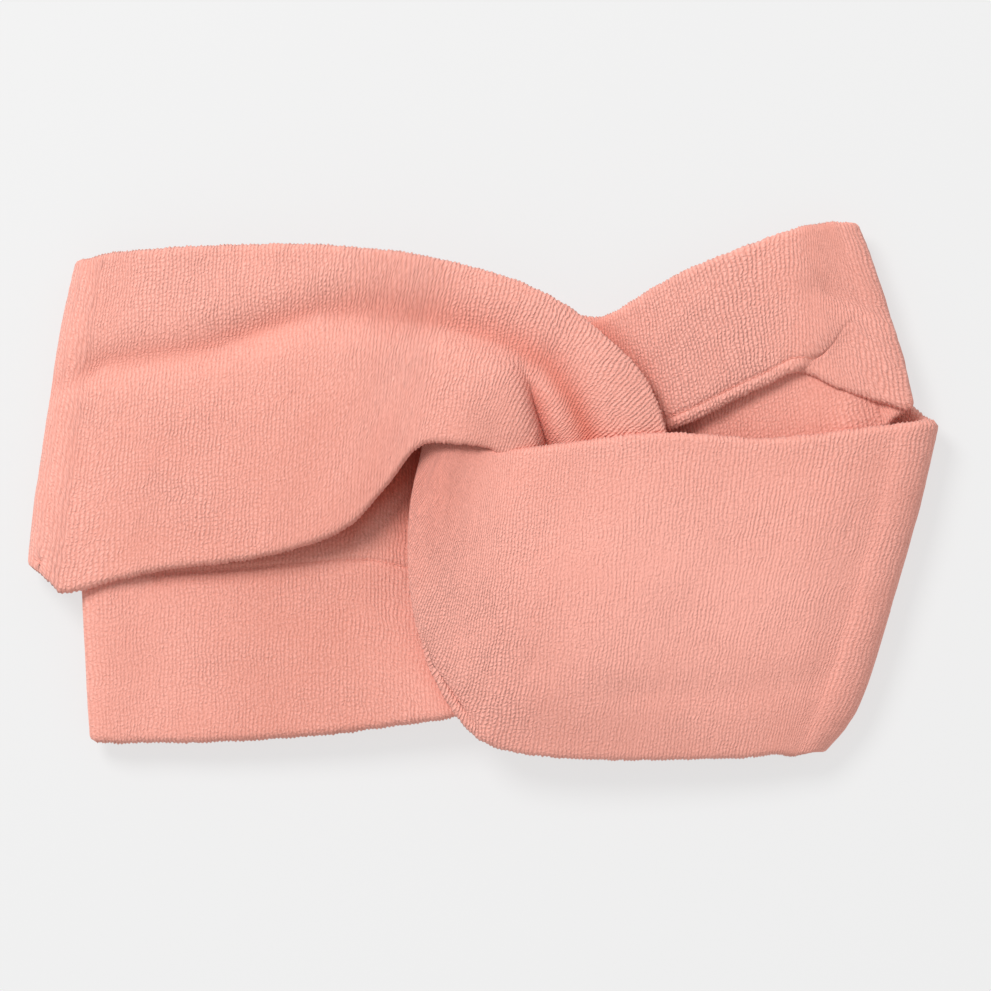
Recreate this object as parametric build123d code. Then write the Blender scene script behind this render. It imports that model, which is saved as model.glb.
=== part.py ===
# Clasped-twist terry spa headband, lying flat as two folded loops.
# Units mm, +Z up.  The back of the band rests on z = 0; the two loops run out
# along -X and +X from the nape join at x = 0, and Y runs across the band.
# Each half is one flattened tube of stretch terry.  It starts at the nape on
# the outer back layer, folds round the side of the head, runs across the
# forehead as the front leg, turns back in a U at the twist, runs out again as
# the rear leg, folds round the side inside the first fold and comes back to
# the nape as the inner back layer.  The two U turns are hooked into each
# other, which is the twist.
import math
import os

from build123d import *

os.makedirs("parts", exist_ok=True)

# ---------------------------------------------------------------- dimensions
TUBE_T = 3.4            # thickness of a flattened tube, two plies of terry
Z_OUTER_BACK = 1.64     # mid height of the outer back layer
Z_INNER_BACK = 5.9      # mid height of the inner back layer
Z_REAR = 14.6           # rear leg over the head opening, at the twist
Z_HOOK = 18.8           # the part of a tube that has just come round its U turn
Z_FRONT = 23.0          # front legs at the twist
Z_REAR_SIDE = 10.7      # rear leg where it meets its side fold
Z_FRONT_SIDE = 15.1     # front leg where it meets its side fold
NAPE_TOP_Y = 46.4       # upper edge of the band at the nape
NAPE_BOTTOM_Y = -38.9   # lower edge of the band at the nape
JOIN_HALF = 0.9         # half width of the overlocked join at the nape
JOIN_TOP = 8.2          # how far the join's allowance stands up inside
GROOVE_W = 1.8          # width of the channel the tube's seam lies in
GROOVE_D = 0.55         # depth of that channel
SEAM_W = 1.5            # width of the row of seam thread
SEAM_T = 0.42           # height of the row of seam thread
SEAM_GAP = 0.06         # play between the seam thread and the cloth round it
FOLD_STEPS = 8          # sections round one fold

PITCH = 0.26            # mm for one step of the layout grid below
GRID_X0 = 483.0
GRID_Y0 = 490.5


def at(gx, gy, z):
    """A point of the layout grid (columns to the right, rows downward)."""
    return (gx - GRID_X0) * PITCH, (GRID_Y0 - gy) * PITCH, z


def flat(rows):
    """Stations of a leg: (upper edge, lower edge) at one height each."""
    return [(at(ax, ay, za), at(bx, by, zb)) for ax, ay, bx, by, za, zb in rows]


def fold(a, b, z0, z1, side):
    """Stations round a fold whose outermost line runs from a to b on the grid."""
    ax, ay, _ = at(a[0], a[1], 0)
    bx, by, _ = at(b[0], b[1], 0)
    wx, wy = bx - ax, by - ay
    n = math.hypot(wx, wy)
    ox, oy = -wy / n, wx / n
    if ox * side < 0:
        ox, oy = -ox, -oy
    r = abs(z1 - z0) / 2
    reach = r + TUBE_T / 2
    zm = (z0 + z1) / 2
    up = 1 if z0 > z1 else -1
    out = []
    for k in range(FOLD_STEPS + 1):
        th = math.pi / 2 - math.pi * k / FOLD_STEPS
        d = r * math.cos(th) - reach
        z = zm + up * r * math.sin(th)
        out.append(((ax + ox * d, ay + oy * d, z), (bx + ox * d, by + oy * d, z)))
    return out


# ------------------------------------------------------------ the two layouts
def left_path():
    p = [((-JOIN_HALF, NAPE_TOP_Y, Z_OUTER_BACK), (-JOIN_HALF, NAPE_BOTTOM_Y, Z_OUTER_BACK))]
    p += flat([
        (420, 311, 420, 640, Z_OUTER_BACK, Z_OUTER_BACK),
        (340, 306, 335, 635, Z_OUTER_BACK, Z_OUTER_BACK),
        (260, 296, 245, 622, Z_OUTER_BACK, Z_OUTER_BACK),
        (180, 280, 150, 598, Z_OUTER_BACK, Z_OUTER_BACK),
    ])
    p += fold((74, 264), (31, 562), Z_OUTER_BACK, Z_FRONT_SIDE, -1)
    p += flat([
        (180, 249, 160, 571, 16.6, 17.2),
        (245, 247, 245, 562, 18.6, 19.4),
        (310, 247, 310, 548, 20.4, 21.2),
        (370, 252, 365, 515, 21.8, 22.6),
        (420, 258, 412, 466, Z_FRONT, Z_FRONT),
        (470, 270, 470, 446, Z_FRONT, Z_FRONT),
        (520, 287, 530, 438, Z_FRONT, Z_FRONT),
    ])
    p += fold((586, 312), (664, 423), Z_FRONT, Z_HOOK, 1)
    p += flat([
        (568, 384, 616, 520, Z_HOOK, Z_HOOK),
        (558, 450, 584, 610, 17.8, 18.0),
        (528, 512, 548, 668, 15.2, 16.4),
        (484, 520, 505, 700, Z_REAR, Z_REAR),
        (430, 480, 440, 716, Z_REAR, Z_REAR),
        (370, 455, 370, 729, Z_REAR, Z_REAR),
        (290, 435, 290, 738, 13.6, 13.6),
        (200, 425, 200, 742, 12.4, 12.4),
        (140, 425, 140, 743, 11.4, 11.4),
    ])
    p += fold((82, 428), (91, 741), Z_REAR_SIDE, Z_INNER_BACK, -1)
    p += flat([
        (160, 395, 165, 716, Z_INNER_BACK, Z_INNER_BACK),
        (240, 360, 245, 685, Z_INNER_BACK, Z_INNER_BACK),
        (320, 332, 325, 658, Z_INNER_BACK, Z_INNER_BACK),
        (400, 316, 400, 643, Z_INNER_BACK, Z_INNER_BACK),
    ])
    p += [((-JOIN_HALF, NAPE_TOP_Y, Z_INNER_BACK), (-JOIN_HALF, NAPE_BOTTOM_Y, Z_INNER_BACK))]
    return p


def right_path():
    p = [((JOIN_HALF, NAPE_TOP_Y, Z_OUTER_BACK), (JOIN_HALF, NAPE_BOTTOM_Y, Z_OUTER_BACK))]
    p += flat([
        (560, 314, 555, 642, Z_OUTER_BACK, Z_OUTER_BACK),
        (640, 330, 630, 655, Z_OUTER_BACK, Z_OUTER_BACK),
        (720, 352, 700, 682, Z_OUTER_BACK, Z_OUTER_BACK),
        (800, 380, 755, 712, Z_OUTER_BACK, Z_OUTER_BACK),
    ])
    p += fold((936, 420), (850, 740), Z_OUTER_BACK, Z_FRONT_SIDE, 1)
    p += flat([
        (830, 424, 755, 756, 16.8, 16.8),
        (770, 434, 710, 758, 18.6, 18.6),
        (700, 434, 655, 759, 20.8, 20.8),
        (640, 438, 605, 758, 22.4, 22.4),
        (580, 440, 565, 756, Z_FRONT, Z_FRONT),
        (530, 446, 515, 750, Z_FRONT, Z_FRONT),
        (480, 452, 478, 734, Z_FRONT, Z_FRONT),
    ])
    p += fold((414, 486), (444, 710), Z_FRONT, Z_HOOK, -1)
    p += flat([
        (468, 400, 488, 606, Z_HOOK, Z_HOOK),
        (498, 352, 512, 516, 18.2, 18.4),
        (532, 326, 538, 440, 15.2, 15.4),
        (580, 318, 585, 430, Z_REAR, Z_REAR),
        (630, 300, 640, 428, Z_REAR, Z_REAR),
        (690, 270, 700, 420, Z_REAR, Z_REAR),
        (740, 252, 755, 394, 13.4, 13.4),
        (780, 240, 800, 372, 12.2, 12.2),
    ])
    p += fold((856, 222), (905, 400), Z_REAR_SIDE, Z_INNER_BACK, 1)
    p += flat([
        (760, 262, 800, 440, Z_INNER_BACK, Z_INNER_BACK),
        (700, 290, 725, 510, Z_INNER_BACK, Z_INNER_BACK),
        (630, 312, 645, 590, Z_INNER_BACK, Z_INNER_BACK),
        (560, 313, 565, 634, Z_INNER_BACK, Z_INNER_BACK),
    ])
    p += [((JOIN_HALF, NAPE_TOP_Y, Z_INNER_BACK), (JOIN_HALF, NAPE_BOTTOM_Y, Z_INNER_BACK))]
    return p


# --------------------------------------------------------------- the sections
def frames(path, flip):
    """Centre, width direction, width and seam-face normal at each station."""
    mids = [Vector(*[(p + q) / 2 for p, q in zip(a, b)]) for a, b in path]
    out = []
    for i, (a, b) in enumerate(path):
        va, vb = Vector(*a), Vector(*b)
        w = vb - va
        prev, nxt = mids[max(i - 1, 0)], mids[min(i + 1, len(mids) - 1)]
        t = nxt - prev
        if i == 0 or i == len(mids) - 1:
            t = Vector(t.X, 0, 0)
        wn = w.normalized()
        n = t.cross(wn).normalized() * flip
        out.append((mids[i], wn, w.length, n))
    return out


def tube_wire(c, w, width, n):
    """Section of a flattened tube: rolled edges, and a channel for the seam."""
    h = TUBE_T / 2
    e = width / 2 - h
    g = GROOVE_W / 2

    def pt(a, b):
        return c + w * a + n * b

    return Wire([
        Edge.make_line(pt(-e, -h), pt(e, -h)),
        Edge.make_three_point_arc(pt(e, -h), pt(e + h, 0), pt(e, h)),
        Edge.make_line(pt(e, h), pt(g, h)),
        Edge.make_line(pt(g, h), pt(g, h - GROOVE_D)),
        Edge.make_line(pt(g, h - GROOVE_D), pt(-g, h - GROOVE_D)),
        Edge.make_line(pt(-g, h - GROOVE_D), pt(-g, h)),
        Edge.make_line(pt(-g, h), pt(-e, h)),
        Edge.make_three_point_arc(pt(-e, h), pt(-e - h, 0), pt(-e, -h)),
    ])


def seam_wire(c, w, width, n):
    """Section of the row of thread that closes the tube, in its channel."""
    s = SEAM_W / 2
    lo = TUBE_T / 2 - GROOVE_D + SEAM_GAP
    hi = lo + SEAM_T

    def pt(a, b):
        return c + w * a + n * b

    return Wire([
        Edge.make_line(pt(-s, lo), pt(s, lo)),
        Edge.make_line(pt(s, lo), pt(s, hi)),
        Edge.make_line(pt(s, hi), pt(-s, hi)),
        Edge.make_line(pt(-s, hi), pt(-s, lo)),
    ])


def run(path, flip, wire):
    return Solid.make_loft([wire(*f) for f in frames(path, flip)], ruled=True)


left = left_path()
right = right_path()

# What the band lies on presses its underside flat at z = 0.
surface = Pos(0, 0, -5) * Box(400, 300, 10)

left_band = run(left, 1, tube_wire) - surface
left_tube_seam = run(left, 1, seam_wire)
right_band = run(right, -1, tube_wire) - surface
right_tube_seam = run(right, -1, seam_wire)

# The join at the nape: the four tube ends meet here and an overlocked
# allowance stands up on the inside.
join_w = 2 * JOIN_HALF - 0.1
join_l = NAPE_TOP_Y - NAPE_BOTTOM_Y - 1.0
nape = Pos(0, (NAPE_TOP_Y + NAPE_BOTTOM_Y) / 2, JOIN_TOP / 2) * Box(join_w, join_l, JOIN_TOP)
nape = fillet(nape.edges().filter_by(Axis.Y).group_by(Axis.Z)[-1], 0.7)
nape = fillet(nape.edges().filter_by(Axis.Z), 0.5)

for name, shape in (
    ("left_band", left_band),
    ("right_band", right_band),
    ("left_tube_seam", left_tube_seam),
    ("right_tube_seam", right_tube_seam),
    ("nape_seam", nape),
):
    shape.label = name
    export_step(shape, f"parts/{name}.step")
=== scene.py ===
# Visual model of a clasped-twist terry spa headband, laid flat.
import math

import bpy
import numpy as np
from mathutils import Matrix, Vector


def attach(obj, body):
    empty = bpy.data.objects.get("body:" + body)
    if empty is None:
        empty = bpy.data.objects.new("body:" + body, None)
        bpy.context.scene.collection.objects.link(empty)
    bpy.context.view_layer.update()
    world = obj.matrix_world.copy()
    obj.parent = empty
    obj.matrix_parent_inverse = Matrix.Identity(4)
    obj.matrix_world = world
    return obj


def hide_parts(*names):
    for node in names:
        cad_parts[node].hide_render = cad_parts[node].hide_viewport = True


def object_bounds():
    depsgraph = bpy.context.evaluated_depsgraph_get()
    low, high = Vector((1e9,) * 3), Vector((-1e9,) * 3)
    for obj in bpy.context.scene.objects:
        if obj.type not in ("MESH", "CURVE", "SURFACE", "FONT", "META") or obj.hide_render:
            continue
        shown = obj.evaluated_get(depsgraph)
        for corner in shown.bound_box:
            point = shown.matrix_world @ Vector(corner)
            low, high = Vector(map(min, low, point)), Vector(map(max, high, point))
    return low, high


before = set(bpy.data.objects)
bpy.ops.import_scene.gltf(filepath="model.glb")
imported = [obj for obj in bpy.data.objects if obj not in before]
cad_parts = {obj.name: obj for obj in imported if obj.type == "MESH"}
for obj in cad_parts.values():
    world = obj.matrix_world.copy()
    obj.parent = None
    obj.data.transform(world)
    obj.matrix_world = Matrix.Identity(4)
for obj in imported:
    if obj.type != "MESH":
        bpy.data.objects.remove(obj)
cad_lo, cad_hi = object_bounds()
cad_lo, cad_hi = list(cad_lo), list(cad_hi)

PITCH = 0.26            # mm per step of the layout grid
GX0, GY0 = 483.0, 490.5
THICK = 3.5             # mm, a flattened tube
RIB = 1.02              # mm, distance between terry ribs
STEP = 0.28             # mm, mesh step along the band
WORLD = 0.58            # strength of the even studio fill
KEY = 24.4              # power of the soft light at the upper left


# ------------------------------------------------------------------ helpers
def catmull(xs, ys, x):
    """Monotone cubic through (xs, ys) at x; ys may have extra axes."""
    xs = np.asarray(xs, float)
    ys = np.asarray(ys, float)
    shape = ys.shape[1:]
    ys = ys.reshape(len(xs), -1)
    h = np.diff(xs)[:, None]
    d = np.diff(ys, axis=0) / h
    m = np.zeros_like(ys)
    m[0], m[-1] = d[0], d[-1]
    w1 = 2 * h[1:] + h[:-1]
    w2 = h[1:] + 2 * h[:-1]
    same = d[1:] * d[:-1] > 0
    with np.errstate(divide="ignore", invalid="ignore"):
        hm = (w1 + w2) / (w1 / d[:-1] + w2 / d[1:])
    m[1:-1] = np.where(same, hm, 0.0)
    i = np.clip(np.searchsorted(xs, x) - 1, 0, len(xs) - 2)
    t = ((x - xs[i]) / h[i, 0])[:, None]
    t2, t3 = t * t, t * t * t
    out = (
        (2 * t3 - 3 * t2 + 1) * ys[i]
        + (t3 - 2 * t2 + t) * h[i] * m[i]
        + (-2 * t3 + 3 * t2) * ys[i + 1]
        + (t3 - t2) * h[i] * m[i + 1]
    )
    return out.reshape((len(x),) + shape)


def smooth_through(xs, ys, x):
    """Catmull-Rom through (xs, ys), which may overshoot a little."""
    xs = np.asarray(xs, float)
    ys = np.asarray(ys, float)
    shape = ys.shape[1:]
    ys = ys.reshape(len(xs), -1)
    m = np.zeros_like(ys)
    m[1:-1] = (ys[2:] - ys[:-2]) / (xs[2:] - xs[:-2])[:, None]
    m[0] = (ys[1] - ys[0]) / (xs[1] - xs[0])
    m[-1] = (ys[-1] - ys[-2]) / (xs[-1] - xs[-2])
    i = np.clip(np.searchsorted(xs, x) - 1, 0, len(xs) - 2)
    h = (xs[i + 1] - xs[i])[:, None]
    t = (x - xs[i])[:, None] / h
    t2, t3 = t * t, t * t * t
    out = (
        (2 * t3 - 3 * t2 + 1) * ys[i]
        + (t3 - 2 * t2 + t) * h * m[i]
        + (-2 * t3 + 3 * t2) * ys[i + 1]
        + (t3 - t2) * h * m[i + 1]
    )
    return out.reshape((len(x),) + shape)


def lattice(seed, n=64):
    return np.random.default_rng(seed).random((n, n))


def noise(x, y, seed):
    """Smooth value noise in -1..1 on a unit lattice."""
    g = lattice(seed)
    n = g.shape[0]
    xi, yi = np.floor(x).astype(int), np.floor(y).astype(int)
    fx, fy = x - xi, y - yi
    fx, fy = fx * fx * (3 - 2 * fx), fy * fy * (3 - 2 * fy)
    a, b = g[xi % n, yi % n], g[(xi + 1) % n, yi % n]
    c, d = g[xi % n, (yi + 1) % n], g[(xi + 1) % n, (yi + 1) % n]
    return 2 * ((a * (1 - fx) + b * fx) * (1 - fy) + (c * (1 - fx) + d * fx) * fy) - 1


def sst(a, b, x):
    t = np.clip((x - a) / (b - a), 0, 1)
    return t * t * (3 - 2 * t)


# ----------------------------------------------------------------- stations
# A station is five grid points across the band with their heights (mm).
def st(ax, ay, bx, by, za, zb=None, bow=0.0, leg=""):
    """Straight station from the upper edge (ax, ay) to the lower edge (bx, by)."""
    zb = za if zb is None else zb
    v = np.linspace(0, 1, 5)
    p = np.stack([ax + (bx - ax) * v, ay + (by - ay) * v, za + (zb - za) * v], 1)
    p[:, 2] += bow * 4 * v * (1 - v)
    return p, leg


def line5(*pts):
    """Five evenly spaced points along a polyline."""
    pts = np.array(pts, float)
    if len(pts) == 5:
        return pts
    d = np.r_[0, np.cumsum(np.hypot(*np.diff(pts, axis=0).T))]
    q = np.linspace(0, d[-1], 5)
    return np.stack([np.interp(q, d, pts[:, k]) for k in range(2)], 1)


def turn(outer, inner0, inner1, z0, z1, n=9, leg=""):
    """Stations round a fold from height z0 to z1, outermost along outer."""
    out = []
    z0, z1 = np.asarray(z0, float) * np.ones(5), np.asarray(z1, float) * np.ones(5)
    for k in range(n):
        th = math.pi * k / (n - 1)
        w = math.sin(th)
        m = (1 - math.cos(th)) / 2
        inner = inner0 * (1 - m) + inner1 * m
        xy = inner + (outer - inner) * w
        z = (z0 + z1) / 2 + (z0 - z1) / 2 * math.cos(th)
        out.append((np.c_[xy, z], leg))
    return out


def left_stations():
    s = [
        st(479, 312, 479, 640, 1.8, leg="OB"),
        st(420, 311, 420, 640, 1.8, leg="OB"),
        st(340, 306, 335, 635, 1.8, leg="OB"),
        st(260, 296, 245, 622, 1.8, leg="OB"),
        st(180, 280, 150, 598, 1.8, leg="OB"),
    ]
    outer = line5((80, 258), (64, 333), (53, 405), (39, 490), (31, 569))
    in0 = line5((112, 268), (96, 340), (88, 410), (75, 488), (60, 580))
    in1 = line5((106, 252), (94, 335), (84, 410), (73, 497), (60, 594))
    s += turn(outer, in0, in1, 1.8, (11.4, 12.6, 13.0, 13.0, 12.4), leg="SL")
    s += [
        st(138, 249, 120, 580, 13.4, 14.0, 1.4, "FL"),
        st(180, 246, 160, 571, 14.8, 15.4, 1.6, "FL"),
        st(245, 244, 235, 562, 16.6, 17.4, 1.4, "FL"),
        st(310, 244, 300, 548, 18.4, 19.4, 1.2, "FL"),
        st(365, 248, 350, 526, 19.8, 21.2, 1.0, "FL"),
        st(408, 253, 386, 488, 20.8, 22.6, 0.9, "FL"),
        st(452, 262, 420, 447, 21.4, 24.4, 1.4, "FL"),
        st(500, 275, 462, 445, 21.6, 24.8, 2.4, "FL"),
        st(545, 293, 491, 450, 21.4, 23.2, 3.0, "FL"),
        st(577, 313, 514, 464, 21.0, 21.6, 3.0, "FL"),
        st(611, 341, 530, 474, 20.8, 20.2, 2.8, "FL"),
        st(643, 374, 541, 486, 20.4, 19.4, 2.2, "FL"),
        st(661, 412, 548, 506, 19.8, 19.0, 1.4, "FL"),
        st(668, 446, 552, 540, 19.4, 19.0, 0.4, "FLh"),
    ]
    outer = line5((674, 470), (556, 604))
    in0 = line5((664, 462), (548, 586))
    in1 = line5((660, 464), (546, 594))
    s += turn(outer, in0, in1, 19.2, 15.9, leg="HL")
    s += [
        st(628, 468, 534, 640, 15.7, 15.7, leg="KLh"),
        st(580, 478, 520, 680, 15.2, 15.2, leg="KLh"),
        st(530, 484, 500, 702, 14.4, 14.6, leg="KLh"),
        st(484, 470, 476, 712, 12.6, 13.8, leg="KL"),
        st(440, 440, 446, 720, 9.6, 13.2, leg="KL"),
        st(405, 410, 408, 725, 9.0, 12.4, leg="KL"),
        st(360, 388, 360, 732, 10.0, 11.6, leg="KL"),
        st(290, 390, 290, 739, 10.8, 10.6, leg="KL"),
        st(200, 398, 200, 744, 10.6, 9.6, leg="KL"),
        st(150, 404, 150, 744, 10.2, 9.0, leg="KL"),
    ]
    outer = line5((84, 420), (86, 600), (94, 744))
    in0 = line5((108, 418), (114, 745))
    in1 = line5((112, 418), (118, 736))
    s += turn(outer, in0, in1, (9.8, 9.8, 9.6, 9.2, 8.6), (5.9, 5.9, 5.9, 5.6, 5.0), leg="IL")
    s += [
        st(160, 402, 165, 716, 5.6, leg="IB"),
        st(240, 362, 245, 685, 5.6, leg="IB"),
        st(320, 334, 325, 658, 5.6, leg="IB"),
        st(400, 317, 400, 643, 5.6, leg="IB"),
        st(479, 312, 479, 640, 5.6, leg="IB"),
    ]
    return s


def right_stations():
    s = [
        st(487, 312, 487, 640, 1.8, leg="OB"),
        st(560, 314, 555, 642, 1.8, leg="OB"),
        st(640, 330, 630, 655, 1.8, leg="OB"),
        st(720, 352, 700, 682, 1.8, leg="OB"),
        st(800, 380, 755, 712, 1.8, leg="OB"),
    ]
    outer = line5((936, 420), (914, 515), (887, 606), (856, 703), (820, 753))
    in0 = line5((902, 390), (879, 492), (853, 586), (825, 674), (795, 738))
    in1 = line5((893, 424), (876, 504), (852, 591), (824, 683), (796, 758))
    s += turn(outer, in0, in1, 1.8, (13.8, 13.8, 13.2, 12.2, 9.6), leg="SR")
    s += [
        (np.array([(852, 429, 15.6), (836, 505, 16.0), (816, 590, 15.6), (796, 672, 14.4), (778, 756, 10.6)], float), "FR"),
        (np.array([(805, 435, 17.0), (792, 512, 17.4), (776, 595, 17.2), (760, 676, 15.8), (746, 759, 11.2)], float), "FR"),
        (np.array([(755, 438, 18.6), (745, 515, 19.2), (732, 598, 18.8), (718, 678, 17.0), (706, 760, 11.8)], float), "FR"),
        (np.array([(702, 434, 20.8), (694, 513, 21.4), (684, 596, 20.8), (672, 678, 18.4), (662, 761, 12.2)], float), "FR"),
        (np.array([(650, 433, 23.0), (644, 512, 23.6), (638, 596, 22.8), (630, 678, 19.6), (622, 761, 12.6)], float), "FR"),
        (np.array([(602, 438, 24.4), (598, 516, 24.8), (594, 598, 24.0), (588, 680, 20.4), (582, 760, 13.2)], float), "FR"),
        (np.array([(566, 443, 24.8), (560, 520, 25.0), (554, 600, 24.2), (548, 680, 20.8), (540, 757, 13.8)], float), "FR"),
        (np.array([(540, 446, 24.6), (532, 522, 25.0), (524, 602, 24.2), (516, 680, 21.0), (506, 751, 14.6)], float), "FR"),
        (np.array([(516, 448, 23.6), (508, 518, 24.8), (500, 592, 24.2), (490, 668, 21.2), (478, 739, 15.8)], float), "FR"),
        (np.array([(497, 447, 21.8), (488, 508, 24.0), (478, 574, 24.0), (466, 642, 21.4), (451, 709, 17.0)], float), "FR"),
        (np.array([(483, 442, 20.4), (472, 494, 23.0), (460, 549, 23.4), (446, 606, 21.4), (428, 664, 17.8)], float), "FR"),
        (np.array([(474, 433, 19.6), (461, 476, 22.0), (447, 520, 22.8), (432, 566, 21.4), (414, 612, 18.2)], float), "FR"),
        (np.array([(469, 419, 19.0), (456, 454, 20.8), (442, 489, 21.8), (427, 525, 21.0), (409, 562, 18.4)], float), "FR"),
        (np.array([(467, 401, 18.6), (455, 429, 19.6), (441, 456, 20.2), (427, 482, 19.8), (411, 507, 18.2)], float), "FR"),
        (np.array([(470, 380, 18.2), (458, 401, 18.8), (446, 421, 19.0), (433, 440, 18.8), (421, 458, 18.0)], float), "FRh"),
        (np.array([(486, 358, 18.0), (470, 380, 18.2), (454, 402, 18.2), (438, 424, 18.2), (423, 446, 17.8)], float), "FRh"),
    ]
    outer = line5((524, 316), (412, 430))
    in0 = line5((532, 340), (424, 444))
    in1 = line5((540, 332), (432, 440))
    s += turn(outer, in0, in1, 18.0, 14.6, leg="HR")
    s += [
        st(556, 322, 500, 456, 14.5, 14.4, leg="KRh"),
        st(586, 322, 580, 450, 14.4, 14.2, leg="KR"),
        st(620, 308, 640, 440, 14.6, 13.8, leg="KR"),
        st(658, 284, 690, 423, 14.6, 13.6, 0.6, "KR"),
        st(705, 261, 736, 400, 14.0, 13.2, 0.8, "KR"),
        st(752, 243, 768, 385, 12.7, 12.6, 0.7, "KR"),
        st(796, 227, 800, 371, 11.5, 12.2, 0.5, "KR"),
        st(820, 222, 840, 389, 10.7, 11.9, 0.3, "KR"),
    ]
    outer = line5((853, 221), (871, 268), (888, 318), (902, 364), (911, 410))
    in0 = line5((836, 220), (850, 270), (864, 316), (874, 359), (880, 402))
    in1 = line5((828, 232), (841, 284), (854, 333), (870, 382), (886, 432))
    s += turn(outer, in0, in1, (10.2, 10.6, 11.0, 11.1, 11.0), (5.0, 5.8, 6.2, 6.8, 8.4), leg="IR")
    s += [
        st(780, 262, 806, 462, 5.6, 5.8, leg="IB"),
        st(700, 292, 725, 510, 5.6, leg="IB"),
        st(630, 314, 645, 590, 5.6, leg="IB"),
        st(560, 314, 565, 634, 5.6, leg="IB"),
        st(487, 312, 487, 640, 5.6, leg="IB"),
    ]
    return s


# ----------------------------------------------------------------- features
def near(pts, x, y):
    """Signed distance to a polyline of (x, y, amp, above, below) rows; below the line is positive."""
    best = np.full(x.shape, 1e9)
    amp = np.zeros(x.shape)
    up = np.ones(x.shape)
    dn = np.ones(x.shape)
    side = np.zeros(x.shape)
    for p, q in zip(pts[:-1], pts[1:]):
        dx, dy = q[0] - p[0], q[1] - p[1]
        L2 = dx * dx + dy * dy
        t = np.clip(((x - p[0]) * dx + (y - p[1]) * dy) / L2, 0, 1)
        ex, ey = x - p[0] - t * dx, y - p[1] - t * dy
        d = np.hypot(ex, ey)
        m = d < best
        best = np.where(m, d, best)
        amp = np.where(m, p[2] + (q[2] - p[2]) * t, amp)
        up = np.where(m, p[3] + (q[3] - p[3]) * t, up)
        dn = np.where(m, p[4] + (q[4] - p[4]) * t, dn)
        side = np.where(m, np.where(dx * ey - dy * ex >= 0, 1, -1), side)
    return best * side, amp, up, dn


def groove(z, x, y, pts):
    """A valley (amp below 0) or ridge along a line, with its own spread on each side."""
    pts = [p if len(p) == 5 else (*p, p[-1]) for p in pts]
    d, a, up, dn = near(np.array(pts, float), x, y)
    s = np.where(d > 0, dn, up)
    return z + a * np.exp(-((d / s) ** 2))


def step(z, x, y, pts, reach=1e9):
    """Raises the upper side of the line and lowers the lower side by half amp each."""
    pts = [p if len(p) == 5 else (*p, p[-1]) for p in pts]
    d, a, s, _ = near(np.array(pts, float), x, y)
    k = 1 / (1 + np.exp(np.clip(d / s * 3, -40, 40)))
    fade = np.exp(-((np.abs(d) / reach) ** 2))
    return z + a * (k - 0.5) * fade


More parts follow.
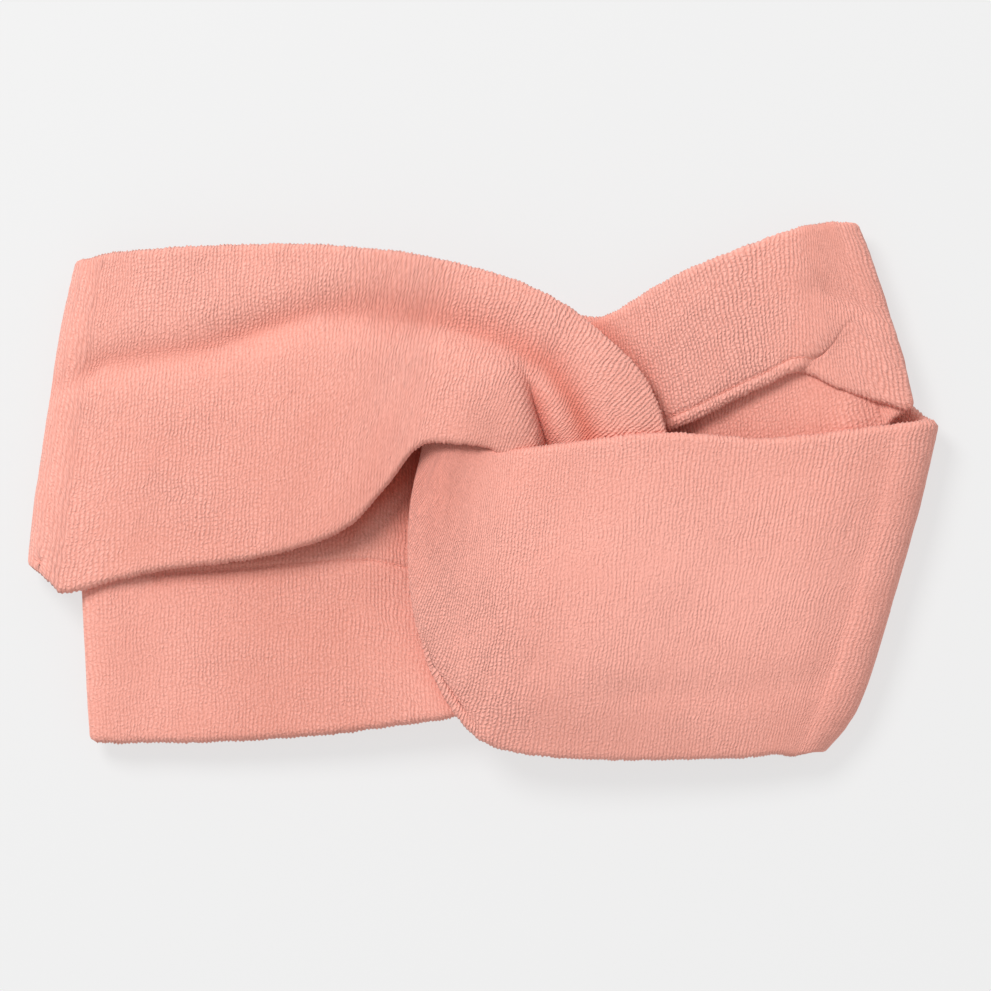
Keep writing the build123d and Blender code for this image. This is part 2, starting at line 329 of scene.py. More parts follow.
def features(side, leg, x, y, z):
    """Height changes (mm) on the visible legs, in grid coordinates."""
    flat = z
    if side == "left" and leg in ("FL", "SL", "FLh"):
        # long soft valley that runs along the front leg and into the twist
        z = groove(z, x, y, [
            (36, 402, -0.4, 14, 12), (62, 386, -1.8, 20, 12), (105, 366, -3.0, 20, 12), (205, 352, -3.4, 22, 14),
            (275, 328, -3.9, 24, 13), (320, 315, -3.4, 24, 16), (385, 318, -3.6, 34, 22), (446, 330, -4.6, 38, 15),
            (500, 346, -4.4, 38, 18), (538, 364, -3.8, 32, 20), (562, 392, -3.0, 26, 21), (582, 432, -2.6, 24, 21), (598, 470, -1.6, 22, 18)])
        # short deep crease beside it
        z = groove(z, x, y, [(512, 362, 0.0, 7, 7), (523, 380, -2.4, 11, 8), (534, 410, -5.3, 13, 8), (546, 446, -6.6, 15, 9), (556, 480, -3.0, 14, 9)])
        # the crest of the outer roll
        z = groove(z, x, y, [(540, 310, 0.3, 20), (600, 360, 1.0, 18), (640, 420, 1.2, 16), (650, 450, 0.0, 14)])
        z = groove(z, x, y, [(430, 380, 0.3, 30), (490, 385, 0.9, 26), (512, 430, 1.0, 16), (520, 460, 0.0, 14)])
        z = groove(z, x, y, [(150, 480, 0.0, 26), (160, 494, -0.35, 20), (200, 500, 0.0, 26)])
        # a small dimple in the lower left corner
        z = z - 1.5 * np.exp(-(((x - 41.5) / 4.0) ** 2 + ((y - 562.5) / 5.0) ** 2))
    if side == "right" and leg in ("FR", "SR", "FRh"):
        z = groove(z, x, y, [(560, 694, 0.0, 12), (620, 692, -0.5, 13), (740, 690, -0.6, 14), (820, 676, -0.4, 14), (860, 665, 0.0, 12)])
        z = groove(z, x, y, [(490, 640, 0.0, 20), (530, 662, -0.8, 24), (580, 680, 0.0, 20)])
        z = groove(z, x, y, [(424, 626, 0.0, 9, 6), (434, 664, -1.9, 9, 6), (458, 700, -1.9, 9, 6), (486, 732, 0.0, 9, 6)])
        z = groove(z, x, y, [(440, 456, 0.0, 22), (450, 500, -0.7, 22), (440, 560, -0.5, 22), (430, 600, 0.0, 22)])
    if side == "right" and leg in ("KR", "IR"):
        z = step(z, x, y, [(690, 432, 0.0, 4), (740, 404, 0.0, 4), (786, 376, 1.3, 4), (815, 354, 1.5, 4.5), (838, 336, 0.9, 7), (856, 318, 0.0, 10)], 34)
        z = groove(z, x, y, [(795, 288, 0.0, 12, 10), (826, 292, -1.2, 16, 9), (858, 303, -1.2, 15, 9), (885, 316, -0.8, 12, 9), (905, 330, -0.3, 10, 9)])
    if side == "right" and leg == "IB":
        z = z + 3.3 * sst(655, 712, x) * sst(470, 440, y) * sst(340, 366, y) * sst(888, 846, x)
    if side == "left" and leg == "KL":
        z = groove(z, x, y, [(250, 640, 0.0, 30), (330, 610, -0.5, 26), (400, 600, -0.8, 24)])
    # a fold is dented only on its upper side
    if leg in ("SL", "SR"):
        z = flat + (z - flat) * sst(4.5, 11.0, flat)
    if leg in ("IL", "IR"):
        z = flat + (z - flat) * sst(6.8, 9.4, flat)
    return z


# ---------------------------------------------------------------- one band
def build(side, stations, ref):
    pts = np.array([p for p, _ in stations])
    legs = [l for _, l in stations]
    xyz = pts.copy()
    xyz[..., 0] = (pts[..., 0] - GX0) * PITCH
    xyz[..., 1] = (GY0 - pts[..., 1]) * PITCH
    seg = np.linalg.norm(np.diff(xyz, axis=0), axis=2)
    par = np.r_[0, np.cumsum(np.maximum(seg.mean(1), 0.05))]
    nu = int(par[-1] / STEP)
    u = np.linspace(0, par[-1], nu)
    grid5 = smooth_through(par, xyz, u)
    # a finer spacing near the edges of the band
    nv = 44
    e = np.linspace(0, 1, nv)
    v = e - 0.085 * np.sin(2 * math.pi * e)
    legi = np.clip(np.searchsorted(par, u), 0, len(legs) - 1)
    # more samples beside the seam, and the seam's own way across the band
    v = v[np.abs(v - 0.5) > 0.022]
    v = np.sort(np.r_[v, 0.5 + np.array([-0.016, -0.0105, -0.0055, 0.0, 0.0055, 0.0105, 0.016])])
    nv = len(v)
    js = int(np.argmin(np.abs(v - 0.5)))
    near_pleat = np.array([1.0 if legs[i] == "KR" else 0.0 for i in legi])
    ker = np.hanning(81)
    near_pleat = np.convolve(np.pad(near_pleat, 40, mode="edge"), ker / ker.sum(), "valid")
    vs = 0.5 + 0.405 * near_pleat
    V = np.where(v[None] <= 0.5, v[None] / 0.5 * vs[:, None], vs[:, None] + (v[None] - 0.5) / 0.5 * (1 - vs[:, None]))
    k5 = np.linspace(0, 1, 5)
    m5 = np.zeros_like(grid5)
    m5[:, 1:-1] = (grid5[:, 2:] - grid5[:, :-2]) / 0.5
    m5[:, 0] = (grid5[:, 1] - grid5[:, 0]) / 0.25
    m5[:, -1] = (grid5[:, -1] - grid5[:, -2]) / 0.25
    ki = np.clip((V * 4).astype(int), 0, 3)
    kt = (V * 4 - ki)[..., None]
    rowi = np.arange(nu)[:, None]
    g0, g1, q0, q1 = grid5[rowi, ki], grid5[rowi, ki + 1], m5[rowi, ki], m5[rowi, ki + 1]
    mid = ((2 * kt**3 - 3 * kt**2 + 1) * g0 + (kt**3 - 2 * kt**2 + kt) * 0.25 * q0
           + (-2 * kt**3 + 3 * kt**2) * g1 + (kt**3 - kt**2) * 0.25 * q1)
    gx = mid[..., 0] / PITCH + GX0
    gy = GY0 - mid[..., 1] / PITCH
    for name in sorted(set(legs)):
        rows = np.array([legs[i] == name for i in legi])
        if not rows.any():
            continue
        mid[rows, :, 2] = features(side, name, gx[rows], gy[rows], mid[rows, :, 2])
    # distances along and across, mm
    du = np.linalg.norm(np.diff(mid, axis=0), axis=2)
    fan = sst(0, 1, np.array([legs[i] in ("FR", "FL", "FRh", "FLh") for i in legi], float))
    kern = np.hanning(61)
    fan = np.convolve(np.pad(fan, 30, mode="edge"), kern / kern.sum(), "valid")[:-1]
    dmid, dref = du[:, nv // 2], du[:, int(ref * nv)]
    sm = np.r_[0, np.cumsum(dmid * (1 - fan) + np.maximum(dmid, dref) * fan)]
    dv = np.linalg.norm(np.diff(mid, axis=1), axis=2)
    tm = np.c_[np.zeros(nu), np.cumsum(dv, axis=1)]
    width = tm[:, -1:]
    S = np.repeat(sm[:, None], nv, 1)
    # normals of the middle surface
    tu = np.gradient(mid, axis=0)
    tv = np.gradient(mid, v, axis=1)
    nrm = np.cross(tu, tv)
    nrm /= np.linalg.norm(nrm, axis=2, keepdims=True) + 1e-12
    edge = np.minimum(tm, width - tm)
    R = 2.1
    half = THICK / 2 * np.sqrt(np.clip(1 - (1 - np.clip(edge / R, 0, 1)) ** 2, 0, 1))
    # the rolled edges follow the ribs and loops too
    out = tv / (np.linalg.norm(tv, axis=2, keepdims=True) + 1e-12)
    rim = np.clip(1 - edge / 1.2, 0, 1) * np.where(tm < width / 2, -1, 1)
    scal = 0.16 * np.cos(2 * math.pi * S / RIB + 3.0 * noise(S / 9, S * 0, 4)) + 0.20 * noise(S / 0.6, tm / 3, 8) + 0.13 * noise(S / 2.2, tm / 9, 18)
    mid = mid + out * (rim * scal)[..., None]
    # where the tube bunches towards the pivot of a bend its ribs close up
    comp = np.concatenate([du, du[-1:]]) / np.maximum(np.gradient(sm)[:, None], 1e-6)
    comp = 0.25 + 0.75 * np.clip(comp, 0, 1) ** 1.5
    # ribs, wavering, with broken loops
    def ribs(flip):
        a = S / 9 + 31 * flip
        b = tm / 7
        warp = 0.55 * noise(a, b, 3 + flip) + 0.30 * noise(a * 3.1, b * 2.4, 5 + flip) + 0.16 * noise(S / 1.7, tm / 1.6, 6 + flip)
        ph = S / RIB + warp
        r = 0.5 + 0.5 * np.cos(2 * math.pi * ph)
        loop = noise(S / 0.75, tm / 0.95, 9 + flip)
        amp = 0.045 + 0.035 * noise(S / 16, tm / 13, 13 + flip)
        return (amp * (r - 0.5) * 2 + 0.08 * loop) * comp
    und = 0.22 * noise(S / 24, tm / 19, 21) + 0.12 * noise(S / 9, tm / 11, 22)
    mid = mid + nrm * und[..., None] * np.clip(edge / 6, 0, 1)[..., None]
    off = tm - tm[:, js : js + 1]
    shallow = np.array([0.0 if legs[i] in ("KL", "KR", "KLh", "OB", "IB") else 0.9 for i in legi])
    shallow = np.convolve(np.pad(shallow, 30, mode="edge"), np.ones(61) / 61, "valid")[:, None]
    dent = (1 - shallow) * (0.42 * np.exp(-((off / 0.55) ** 2)) - 0.10 * np.exp(-(((np.abs(off) - 1.5) / 0.8) ** 2)))
    # the front leg's lower rim stands up as a narrow roll
    roll = np.array([1.0 if legs[i] in ("FL", "SL") and side == "left" else 0.0 for i in legi])
    roll = np.convolve(np.pad(roll, 20, mode="edge"), np.ones(41) / 41, "valid")[:, None]
    rim_dent = 0.34 * roll * np.exp(-(((width - tm - 2.5) / 0.55) ** 2))
    face_a = mid + nrm * (half + ribs(0) - rim_dent - (dent if side == "left" else 0))[..., None]
    face_b = mid - nrm * (half + ribs(1) - (dent if side == "right" else 0))[..., None]
    # how open the ribs are (stretched), painted shade where the cloth lies in a fold or under another layer, and
    # painted light and shade over broad areas
    gx = mid[..., 0] / PITCH + GX0
    gy = GY0 - mid[..., 1] / PITCH
    lname = np.array(legs)[legi]
    ribw = np.full(S.shape, 0.50)
    painted_shade = np.zeros(S.shape)
    painted_light_shade = np.zeros(S.shape)
    if side == "left":
        fl = (lname == "FL")[:, None] | (lname == "SL")[:, None] | (lname == "FLh")[:, None]
        ribw = np.where(fl, 0.45 + 0.26 * sst(330, 160, gx) + 0.35 * sst(350, 300, gy) + 0.45 * sst(500, 580, gx) + 0.55 * np.exp(-(((gx - 430) / 95) ** 2 + ((gy - 350) / 60) ** 2)), ribw)
        kl = (lname == "KL")[:, None] | (lname == "KLh")[:, None]
        # painted shade: the lower left of the front leg and the middle of the back leg are darkened
        painted_light_shade = np.where(fl, -0.09 * sst(350, 460, gy) * sst(440, 300, gx) * sst(60, 180, gx), painted_light_shade)
        painted_light_shade = np.where(kl, -0.15 * sst(440, 330, gx) * sst(155, 290, gx), painted_light_shade)
        # painted shade: the back leg is darkened below the front leg's covering edge and in the hole by the right
        # bend
        cover = np.interp(gx, [60, 75, 150, 225, 300, 350, 385, 410, 430, 560], [592, 592, 572, 565, 550, 530, 490, 462, 443, 443])
        painted_shade = np.where(kl, sst(26, -4, gy - cover) * (0.35 + 0.65 * sst(300, 390, gx)) + sst(365, 418, gx) * sst(600, 470, gy) * 0.8, 0)
        # painted shade along the short crease on the front leg
        fold = [(512, 362), (523, 380), (534, 410), (546, 446), (556, 480)]
        d, _, _, _ = near(np.array([(*q, 0, 1, 1) for q in fold], float), gx, gy)
        painted_shade = np.where(fl, np.exp(-((d / np.where(d > 0, 6, 13)) ** 2)) * sst(362, 410, gy), painted_shade)
        # painted shade along the upper side of the long soft valley
        soft = [(36, 402, 0.0, 12, 8), (105, 362, 0.22, 13, 8), (205, 348, 0.25, 14, 8), (275, 324, 0.28, 15, 8), (320, 308, 0.26, 16, 12),
                (385, 308, 0.34, 26, 22), (446, 320, 0.40, 28, 14), (500, 340, 0.42, 24, 10), (548, 366, 0.60, 20, 12), (572, 400, 0.74, 16, 13), (589, 436, 0.74, 15, 14)]
        d, a, up, dn = near(np.array(soft, float), gx, gy)
        painted_shade = np.where(fl, np.maximum(painted_shade, a * np.exp(-((d / np.where(d > 0, dn, up)) ** 2))), painted_shade)
        # painted shade on the back layers hidden under the others
        painted_shade = np.where((lname == "OB")[:, None] | (lname == "IB")[:, None], 0.35, painted_shade)
    else:
        fr = (lname == "FR")[:, None] | (lname == "SR")[:, None] | (lname == "FRh")[:, None]
        kr = (lname == "KR")[:, None] | (lname == "IR")[:, None] | (lname == "KRh")[:, None]
        # painted light: a broad pool of light on the middle of the front right leg
        painted_light_shade = np.where(fr, 0.27 * np.exp(-(((gx - 690) / 170) ** 2 + ((gy - 590) / 130) ** 2)), painted_light_shade)
        ribw = np.where(fr, 0.42 + 0.62 * sst(570, 470, gx) + 0.15 * sst(470, 440, gy), ribw)
        ribw = np.where(kr, 0.62 + 0.5 * sst(800, 740, gx), ribw)
        # painted shade along the fold beside the notch
        d, _, _, _ = near(np.array([(575, 312, 0, 1, 1), (600, 330, 0, 1, 1), (640, 370, 0, 1, 1), (665, 428, 0, 1, 1)], float), gx, gy)
        painted_shade = np.where(kr, 0.45 * np.exp(-((d / 14) ** 2)), 0)
        # painted shade on the upper left of the front right leg
        painted_shade = np.where(fr, 0.30 * sst(500, 430, gx) * sst(620, 470, gy), painted_shade)
        # painted shade in the gap between the back layers, fading to the right
        ib = (lname == "IB")[:, None] | (lname == "OB")[:, None]
        painted_shade = np.where(ib, 0.12 - 0.07 * sst(722, 770, gx), painted_shade)
    painted_shade = np.clip(painted_shade, 0, 1)
    ribw = ribw * comp
    # ring: face a from v=0 to 1, then face b back
    ring = np.concatenate([face_a, face_b[:, -2:0:-1]], axis=1)
    # the underside is pressed flat by the table
    low = ring[..., 2]
    ring[..., 2] = np.where(low < 0.3, 0.3 * np.exp((np.minimum(low, 0.3) - 0.3) / 0.3), low)
    ts = np.concatenate([tm, 2 * width - tm[:, -2:0:-1]], axis=1)
    ss = np.concatenate([S, S[:, -2:0:-1]], axis=1)
    m = ring.shape[1]
    verts = ring.reshape(-1, 3) / 1000.0
    i = np.arange(nu - 1)[:, None] * m
    j = np.arange(m)[None, :]
    jn = (j + 1) % m
    quads = np.stack([i + j, i + m + j, i + m + jn, i + jn], axis=-1).reshape(-1, 4)
    me = bpy.data.meshes.new(side + "_terry_tube")
    caps = [list(range(m - 1, -1, -1)), [(nu - 1) * m + k for k in range(m)]]
    capfaces = []
    for ci, base in enumerate((0, (nu - 1) * m)):
        for k in range(nv - 1):
            a0, a1 = base + k, base + k + 1
            b0 = base + (m - k) % m
            b1 = base + (m - k - 1) % m if k + 1 < nv - 1 else a1
            face = []
            for q in ((a0, a1, b1, b0) if ci == 0 else (a0, b0, b1, a1)):
                if q not in face:
                    face.append(int(q))
            if len(face) > 2:
                capfaces.append(face)
    nq = len(quads)
    me.vertices.add(len(verts))
    me.vertices.foreach_set("co", verts.ravel())
    loops = np.concatenate([quads.ravel(), np.array([q for f in capfaces for q in f], int)])
    sizes = np.concatenate([np.full(nq, 4), [len(f) for f in capfaces]]).astype(int)
    starts = np.r_[0, np.cumsum(sizes)[:-1]].astype(int)
    me.loops.add(len(loops))
    me.loops.foreach_set("vertex_index", loops.astype(np.int32))
    me.polygons.add(len(sizes))
    me.polygons.foreach_set("loop_start", starts.astype(np.int32))
    me.polygons.foreach_set("loop_total", sizes.astype(np.int32))
    # cloth coordinates, in millimetres / 100, continuous round the tube
    tot = (2 * width)
    ts_next = np.concatenate([ts[:, 1:], tot], axis=1)
    uvs = np.zeros((nq, 4, 2))
    s0, s1 = ss[:-1], ss[1:]
    uvs[:, 0, 0] = s0.ravel(); uvs[:, 0, 1] = ts[:-1].ravel()
    uvs[:, 1, 0] = s1.ravel(); uvs[:, 1, 1] = ts[1:].ravel()
    uvs[:, 2, 0] = s1.ravel(); uvs[:, 2, 1] = ts_next[1:].ravel()
    uvs[:, 3, 0] = s0.ravel(); uvs[:, 3, 1] = ts_next[:-1].ravel()
    cap_uv = np.array([[ss.ravel()[q], ts.ravel()[q]] for f in capfaces for q in f])
    allu = np.concatenate([uvs.reshape(-1, 2), cap_uv]) / 100.0
    lay = me.uv_layers.new(name="Cloth")
    lay.data.foreach_set("uv", allu.ravel())
    # a packed map for baking: the tube cut into four lengths, stacked
    rows = 4
    row = (i * 0 + (np.arange(nu - 1) * rows // (nu - 1))[:, None] + 0 * j).ravel()
    per = (nu - 1) / rows
    colf = lambda k: (k - row * per) / per
    iu = np.repeat(np.arange(nu - 1), m)
    jj = np.tile(np.arange(m), nu - 1)
    bu0, bu1 = colf(iu), colf(iu + 1)
    bv0, bv1 = jj / m, (jj + 1) / m
    pad = 0.006
    fx = lambda t: pad + (1 - 2 * pad) * t
    fy = lambda t: (row + pad * 2 + (1 - 4 * pad) * t) / rows
    bake = np.zeros((nq, 4, 2))
    for c, (uu, vv) in enumerate(((bu0, bv0), (bu1, bv0), (bu1, bv1), (bu0, bv1))):
        bake[:, c, 0] = fx(uu)
        bake[:, c, 1] = fy(vv)
    capn = len(cap_uv)
    cap_b = np.zeros((capn, 2))
    cap_b[:, 0] = 0.002
    cap_b[:, 1] = 0.002 + 0.001 * (np.arange(capn) % 3)
    lay2 = me.uv_layers.new(name="OFBake")
    lay2.data.foreach_set("uv", np.concatenate([bake.reshape(-1, 2), cap_b]).ravel())
    me.uv_layers.active = lay
    lay.active_render = True
    # open_ribs is how stretched the ribs are; the other two are painted shade in folds and painted light and shade
    # over broad areas
    for nm, f in (("open_ribs", ribw), ("painted_fold_shade", painted_shade), ("painted_light_and_shade", painted_light_shade)):
        at = me.attributes.new(nm, "FLOAT", "POINT")
        at.data.foreach_set("value", np.concatenate([f, f[:, -2:0:-1]], axis=1).ravel().astype(np.float32))
    me.polygons.foreach_set("use_smooth", np.ones(len(sizes), bool))
    me.update()
    me.validate()
    ob = bpy.data.objects.new(side + "_terry_tube", me)
    bpy.context.scene.collection.objects.link(ob)
    return ob, dict(mid=mid, nrm=nrm, S=S, tm=tm, legs=legs, legi=legi, width=width, half=half, js=js, shallow=shallow[:, 0])


# --------------------------------------------------------------- materials
def node(nt, kind, **kw):
    n = nt.nodes.new(kind)
    for k, v in kw.items():
        if k in n.inputs:
            n.inputs[k].default_value = v
        else:
            setattr(n, k, v)
    return n


def maths(nt, op, a, b=None, c=None):
    n = nt.nodes.new("ShaderNodeMath")
    n.operation = op
    for k, x in enumerate((a, b, c)):
        if x is None:
            continue
        if isinstance(x, (int, float)):
            n.inputs[k].default_value = x
        else:
            nt.links.new(x, n.inputs[k])
    return n.outputs[0]


def terry(name, lit, shade):
    m = bpy.data.materials.new(name)
    m.use_nodes = True
    nt = m.node_tree
    b = nt.nodes["Principled BSDF"]
    b.inputs["Roughness"].default_value = 0.95
    b.inputs["Specular IOR Level"].default_value = 0.12
    b.inputs["Sheen Weight"].default_value = 0.25
    b.inputs["Sheen Roughness"].default_value = 0.6
    b.inputs["Sheen Tint"].default_value = (1.0, 0.80, 0.74, 1)
    uv = node(nt, "ShaderNodeUVMap", uv_map="Cloth")
    sep = nt.nodes.new("ShaderNodeSeparateXYZ")
    nt.links.new(uv.outputs[0], sep.inputs[0])
    s = maths(nt, "MULTIPLY", sep.outputs[0], 100.0)   # mm along
    t = maths(nt, "MULTIPLY", sep.outputs[1], 100.0)   # mm across
    def tex(scale_s, scale_t, detail=1.0):
        c = nt.nodes.new("ShaderNodeCombineXYZ")
        nt.links.new(maths(nt, "MULTIPLY", s, scale_s), c.inputs[0])
        nt.links.new(maths(nt, "MULTIPLY", t, scale_t), c.inputs[1])
        n = node(nt, "ShaderNodeTexNoise", Scale=1.0, Detail=detail, Roughness=0.55)
        nt.links.new(c.outputs[0], n.inputs["Vector"])
        return n.outputs[0]
    warp = maths(nt, "ADD", maths(nt, "MULTIPLY", tex(0.11, 0.14, 1.0), 1.7), maths(nt, "MULTIPLY", tex(0.55, 0.42), 0.9))
    ph = maths(nt, "ADD", maths(nt, "MULTIPLY", s, 1.0 / RIB), warp)
    rib = maths(nt, "POWER", maths(nt, "MULTIPLY_ADD", maths(nt, "COSINE", maths(nt, "MULTIPLY", ph, 2 * math.pi)), 0.5, 0.5), 0.7)
    # loops: each rib is a row of them, shifted at random from its neighbour
    wn = nt.nodes.new("ShaderNodeTexWhiteNoise")
    wn.noise_dimensions = "1D"
    nt.links.new(maths(nt, "FLOOR", maths(nt, "ADD", ph, 0.5)), wn.inputs["W"])
    lp = maths(nt, "ADD", maths(nt, "MULTIPLY", t, 1.0 / 1.15), maths(nt, "ADD", wn.outputs["Value"], maths(nt, "MULTIPLY", tex(0.9, 0.6), 1.6)))
    row = maths(nt, "MULTIPLY_ADD", maths(nt, "COSINE", maths(nt, "MULTIPLY", lp, 2 * math.pi)), 0.5, 0.5)
    loops = tex(1.5, 1.2, 1.0)
    fine = tex(3.0, 2.4, 2.0)
    patch = tex(0.045, 0.06, 2.0)
    at = nt.nodes.new("ShaderNodeAttribute")
    at.attribute_name = "open_ribs"
    # painted shade for folds and covered layers
    dp = nt.nodes.new("ShaderNodeAttribute")
    dp.attribute_name = "painted_fold_shade"
    amt = maths(nt, "MULTIPLY", at.outputs["Fac"], maths(nt, "MULTIPLY_ADD", tex(0.06, 0.07), 1.5, 0.35))
    pile = maths(nt, "MULTIPLY", rib, maths(nt, "MULTIPLY_ADD", row, 0.66, 0.52))
    soften = maths(nt, "MINIMUM", maths(nt, "MULTIPLY", at.outputs["Fac"], 2.6), 1.0)
    grain = maths(nt, "ADD", maths(nt, "MULTIPLY", loops, 0.55), maths(nt, "MULTIPLY", fine, 0.45))
    height = maths(nt, "ADD", maths(nt, "MULTIPLY", pile, amt), maths(nt, "MULTIPLY", grain, soften))
    bump = node(nt, "ShaderNodeBump", Strength=0.68, Distance=0.0005)
    nt.links.new(height, bump.inputs["Height"])
    nt.links.new(bump.outputs[0], b.inputs["Normal"])
    # painted shade: valleys between ribs and loops are mixed towards the shade colour; a slow noise patch varies the
    # tone at random
    mixv = maths(nt, "ADD", maths(nt, "MULTIPLY", maths(nt, "MULTIPLY", pile, amt), 0.55),
                 maths(nt, "ADD", maths(nt, "MULTIPLY", loops, 0.55), maths(nt, "MULTIPLY", fine, 0.55)))
    mixv = maths(nt, "ADD", mixv, maths(nt, "MULTIPLY_ADD", patch, 0.18, -0.09))
    # painted light and shade: broad areas shifted towards the lit or the shade colour
    tn = nt.nodes.new("ShaderNodeAttribute")
    tn.attribute_name = "painted_light_and_shade"
    mixv = maths(nt, "ADD", mixv, tn.outputs["Fac"])
    ramp = node(nt, "ShaderNodeMapRange")
    ramp.inputs["From Min"].default_value = 0.30
    ramp.inputs["From Max"].default_value = 0.95
    nt.links.new(mixv, ramp.inputs["Value"])
    mix = nt.nodes.new("ShaderNodeMix")
    mix.data_type = "RGBA"
    nt.links.new(ramp.outputs["Result"], mix.inputs["Factor"])
    mix.inputs["A"].default_value = (*shade, 1)
    mix.inputs["B"].default_value = (*lit, 1)
    # painted shade: folds, creases and covered layers are multiplied deeper and redder, standing in for light that
    # bounces inside the pile
    painted_shade = nt.nodes.new("ShaderNodeMix")
    painted_shade.data_type = "RGBA"
    painted_shade.blend_type = "MULTIPLY"
    nt.links.new(dp.outputs["Fac"], painted_shade.inputs["Factor"])
    nt.links.new(mix.outputs["Result"], painted_shade.inputs["A"])
    painted_shade.inputs["B"].default_value = (0.80, 0.42, 0.34, 1)
    nt.links.new(painted_shade.outputs["Result"], b.inputs["Base Color"])
    return m


def lin(c):
    return tuple(((x / 255 + 0.055) / 1.055) ** 2.4 if x > 10 else x / 255 / 12.92 for x in c)


LIT = lin((248, 175, 160))
SHADE = lin((214, 138, 121))
TERRY = terry("terry", LIT, SHADE)

left, Ldat = build("left", left_stations(), 0.27)
right, Rdat = build("right", right_stations(), 0.73)
for o in (left, right):
    o.data.materials.append(TERRY)
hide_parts("left_band")
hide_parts("right_band")
for o in (left, right):
    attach(o, "root")


def thread_material():
    m = bpy.data.materials.new("seam_thread")
    m.use_nodes = True
    nt = m.node_tree
    b = nt.nodes["Principled BSDF"]
    b.inputs["Roughness"].default_value = 0.85
    tc = nt.nodes.new("ShaderNodeTexCoord")
    n = node(nt, "ShaderNodeTexNoise", Scale=900.0, Detail=2.0)
    nt.links.new(tc.outputs["Object"], n.inputs["Vector"])
    mix = nt.nodes.new("ShaderNodeMix")
    mix.data_type = "RGBA"
    nt.links.new(n.outputs[0], mix.inputs["Factor"])
    mix.inputs["A"].default_value = (*lin((205, 125, 108)), 1)
    mix.inputs["B"].default_value = (*lin((240, 165, 148)), 1)
    nt.links.new(mix.outputs["Result"], b.inputs["Base Color"])
    bump = node(nt, "ShaderNodeBump", Strength=0.4, Distance=0.0003)
    nt.links.new(n.outputs[0], bump.inputs["Height"])
    nt.links.new(bump.outputs[0], b.inputs["Normal"])
    return m


THREAD = thread_material()


def stitches(side, dat, sign, every=1.9, width=0.5):
    """A zigzag row of thread along the seam face of a tube."""
    mid, nrm, S = dat["mid"], dat["nrm"], dat["S"]
    j = dat["js"]
    line, n, s = mid[:, j], nrm[:, j], S[:, j]
    tv = np.gradient(mid, axis=1)[:, j]
    tv /= np.linalg.norm(tv, axis=1, keepdims=True)
    q = np.arange(1.5, s[-1] - 1.5, every / 6)
    P = np.stack([np.interp(q, s, line[:, k]) for k in range(3)], 1)
    N = np.stack([np.interp(q, s, n[:, k]) for k in range(3)], 1)
    T = np.stack([np.interp(q, s, tv[:, k]) for k in range(3)], 1)
    tri = 2 * np.abs(((q / every) % 1) - 0.5) * 2 - 1
    lift = THICK / 2 - 0.36 - 0.5 * np.interp(q, s, dat["shallow"])
    P = P + sign * N * lift[:, None] + T * (tri * width / 2)[:, None]
    r = 0.13
    k = 6
    tang = np.gradient(P, axis=0)
    tang /= np.linalg.norm(tang, axis=1, keepdims=True) + 1e-12
    up = sign * N
    sd = np.cross(tang, up)
    sd /= np.linalg.norm(sd, axis=1, keepdims=True) + 1e-12
    up = np.cross(sd, tang)
    ang = 2 * math.pi * np.arange(k) / k
    ring = P[:, None] + r * (np.cos(ang)[None, :, None] * sd[:, None] + np.sin(ang)[None, :, None] * up[:, None])
    V = (ring.reshape(-1, 3) / 1000).tolist()
    F = []
    for a in range(len(P) - 1):
        for b in range(k):
            F.append((a * k + b, a * k + (b + 1) % k, (a + 1) * k + (b + 1) % k, (a + 1) * k + b))
    F.append(tuple(range(k - 1, -1, -1)))
    F.append(tuple((len(P) - 1) * k + b for b in range(k)))
    me = bpy.data.meshes.new(side + "_tube_stitches")
    me.from_pydata(V, [], F)
    me.polygons.foreach_set("use_smooth", [True] * len(me.polygons))
    me.materials.append(THREAD)
    ob = bpy.data.objects.new(side + "_tube_stitches", me)
    bpy.context.scene.collection.objects.link(ob)
    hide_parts(side + "_tube_seam")
    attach(ob, "root")
    return ob


left_st = stitches("left", Ldat, 1)
right_st = stitches("right", Rdat, -1)


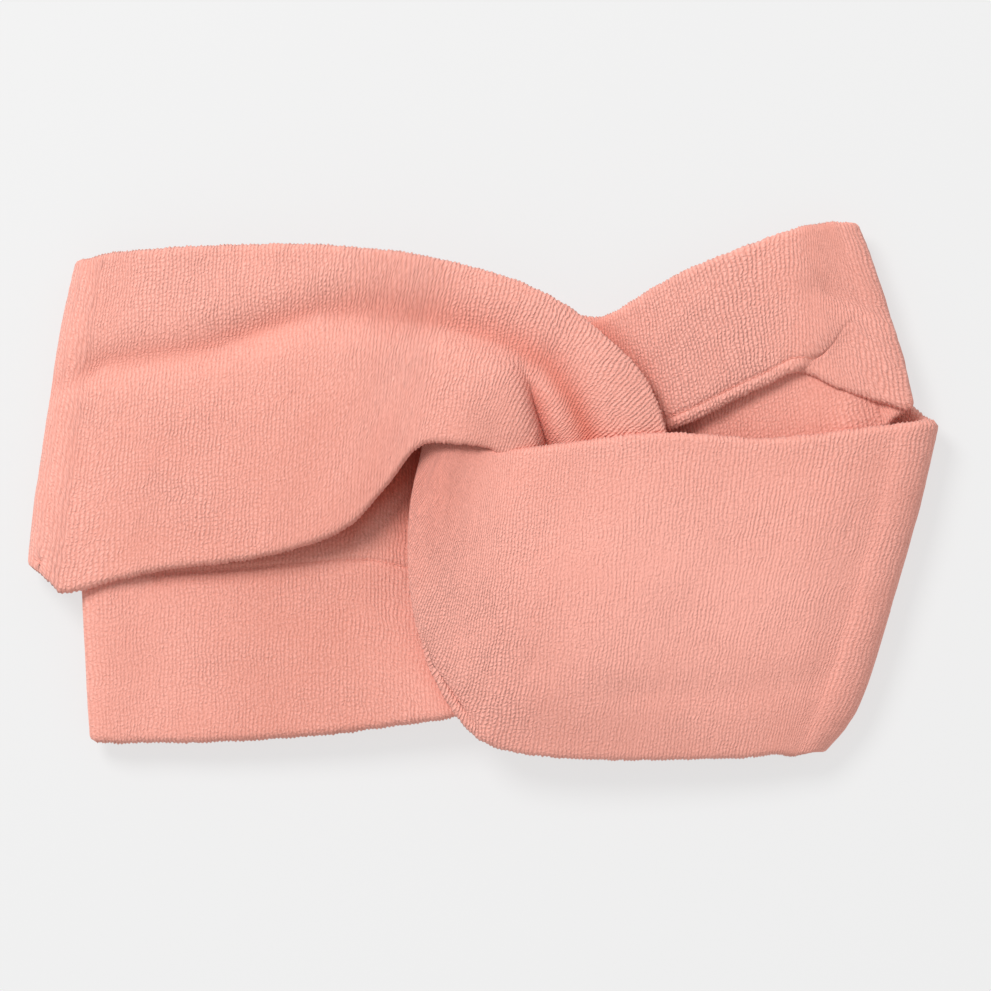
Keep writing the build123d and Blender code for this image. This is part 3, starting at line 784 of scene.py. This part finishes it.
def nape():
    """The overlocked allowance at the nape: a rounded, wavering bar."""
    y0, y1 = -38.6, 46.1
    n, k = 260, 24
    V, F = [], []
    for a in range(n + 1):
        y = y0 + (y1 - y0) * a / n
        wob = 0.06 * math.sin(a * 2 * math.pi / 5.2)
        for b in range(k):
            t = 2 * math.pi * b / k
            x = (1.27 + wob) * abs(math.cos(t)) ** 0.4 * (1 if math.cos(t) >= 0 else -1)
            zc = 4.3 + (3.9 + 0.12 * math.sin(a * 2 * math.pi / 5.2 + b)) * abs(math.sin(t)) ** 0.55 * (1 if math.sin(t) >= 0 else -1)
            V.append((x / 1000, y / 1000, zc / 1000))
    for a in range(n):
        for b in range(k):
            F.append((a * k + b, (a + 1) * k + b, (a + 1) * k + (b + 1) % k, a * k + (b + 1) % k))
    F.append(tuple(range(k)))
    F.append(tuple(n * k + b for b in range(k - 1, -1, -1)))
    me = bpy.data.meshes.new("nape_overlock")
    me.from_pydata(V, [], F)
    me.polygons.foreach_set("use_smooth", [True] * len(me.polygons))
    me.materials.append(THREAD)
    ob = bpy.data.objects.new("nape_overlock", me)
    bpy.context.scene.collection.objects.link(ob)
    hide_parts("nape_seam")
    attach(ob, "root")
    return ob


nape_ob = nape()

# ------------------------------------------------------------------- stage
def floor():
    me = bpy.data.meshes.new("floor")
    s = 3.0
    me.from_pydata([(-s, -s, 0), (s, -s, 0), (s, s, 0), (-s, s, 0)], [], [(0, 1, 2, 3)])
    m = bpy.data.materials.new("floor")
    m.use_nodes = True
    b = m.node_tree.nodes["Principled BSDF"]
    b.inputs["Base Color"].default_value = (0.18, 0.18, 0.18, 1)
    b.inputs["Emission Color"].default_value = (1, 1, 1, 1)
    b.inputs["Emission Strength"].default_value = 0.665
    b.inputs["Roughness"].default_value = 0.9
    b.inputs["Specular IOR Level"].default_value = 0.05
    me.materials.append(m)
    ob = bpy.data.objects.new("floor", me)
    ob.location.z = -0.0004
    bpy.context.scene.collection.objects.link(ob)


floor()
world = bpy.data.worlds.new("world")
bpy.context.scene.world = world
world.use_nodes = True
world.node_tree.nodes["Background"].inputs[0].default_value = (1, 1, 1, 1)
world.node_tree.nodes["Background"].inputs[1].default_value = WORLD


def area(name, loc, size, power):
    d = bpy.data.lights.new(name, "AREA")
    d.shape = "DISK"
    d.size = size
    d.energy = power
    o = bpy.data.objects.new(name, d)
    o.location = loc
    o.rotation_euler = (Vector((0, 0, 0)) - Vector(loc)).to_track_quat("-Z", "Y").to_euler()
    bpy.context.scene.collection.objects.link(o)


area("key", (-0.72, 0.88, 1.34), 0.7, KEY)

cam = bpy.data.cameras.new("camera")
cam_ob = bpy.data.objects.new("camera", cam)
cam.type = "PERSP"
DIST = 1.6
half_w = 991 * PITCH / 2000
cam.sensor_width = 36
cam.lens = 18 * DIST / half_w
cam_ob.location = ((495.5 - GX0) * PITCH / 1000, (GY0 - 495.5) * PITCH / 1000, DIST + 0.018)
cam_ob.rotation_euler = (0, 0, 0)
cam.clip_end = 20
bpy.context.scene.collection.objects.link(cam_ob)
bpy.context.scene.camera = cam_ob

bpy.context.scene.view_settings.view_transform = "Standard"
bpy.context.scene.view_settings.look = "None"
